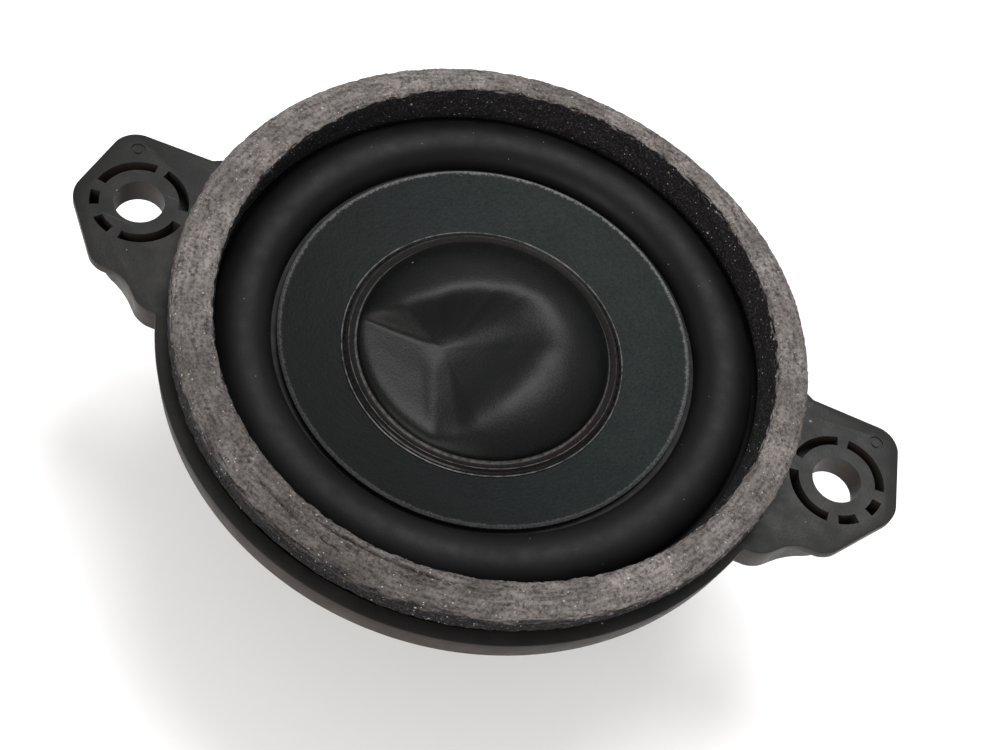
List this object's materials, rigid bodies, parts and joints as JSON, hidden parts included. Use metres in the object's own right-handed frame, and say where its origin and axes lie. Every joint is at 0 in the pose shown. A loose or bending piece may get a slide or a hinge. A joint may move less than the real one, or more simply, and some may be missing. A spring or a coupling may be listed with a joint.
{
  "type": "car dash loudspeaker",
  "caption": "Small round car dash speaker: plastic basket with screw ears, foam gasket ring, rubber surround, paper cone with dented dust cap, ferrite motor and terminals.",
  "frame": {"origin": "centre of the yoke's rear face, which the speaker stands on", "axes": "+Z out of the front along the cone's axis, +X through the two screw ears, terminals at +Y"},
  "size_m": [0.108, 0.08, 0.0422],
  "materials": {
    "basket_plastic": "moulded, satin",
    "foam": "open-cell foam, matte",
    "rubber": "smooth, matte",
    "cone_paper": "pressed paper, matte",
    "cap_paper": "pressed paper, matte",
    "glue": "cured adhesive, glossy",
    "former_foil": "rolled foil",
    "copper_wire": "enamelled copper wire",
    "kraft_paper": "kraft paper",
    "spider_cloth": "resin-dipped cloth",
    "plated_steel": "zinc plated",
    "ferrite": "sintered ferrite, ground faces",
    "phenolic_board": "phenolic paper board",
    "tinned_brass": "tin plated",
    "solder": "solder",
    "tinsel": "braided tinsel"
  },
  "bodies": {
    "frame": {"basket": "basket_plastic", "foam_gasket": "foam", "surround": "rubber", "spider": "spider_cloth", "top_plate": "plated_steel", "magnet": "ferrite", "yoke": "plated_steel", "basket_screw_1": "plated_steel", "basket_screw_2": "plated_steel", "basket_screw_3": "plated_steel", "basket_screw_4": "plated_steel", "terminal_board": "phenolic_board", "terminal_positive": "tinned_brass", "terminal_negative": "tinned_brass", "terminal_rivet_positive": "tinned_brass", "terminal_rivet_negative": "tinned_brass", "terminal_solder_positive": "solder", "terminal_solder_negative": "solder", "tinsel_lead_positive": "tinsel", "tinsel_lead_negative": "tinsel"},
    "cone_assembly": {"cone": "cone_paper", "dust_cap": "cap_paper", "dust_cap_glue_bead": "glue", "voice_coil_former": "former_foil", "voice_coil_winding": "copper_wire", "coil_collar": "kraft_paper", "cone_neck_glue": "glue", "spider_neck_glue": "glue", "lead_joint_positive": "glue", "lead_joint_negative": "glue"}
  },
  "joints": [
    {"name": "cone_travel", "type": "slide", "parent": "frame", "child": "cone_assembly", "axis": [0, 0, 1], "range_m": [-0.0025, 0.0025], "stiffness_N_per_m": 1200, "deforming": ["surround", "spider", "tinsel_lead_positive", "tinsel_lead_negative"]}
  ]
}
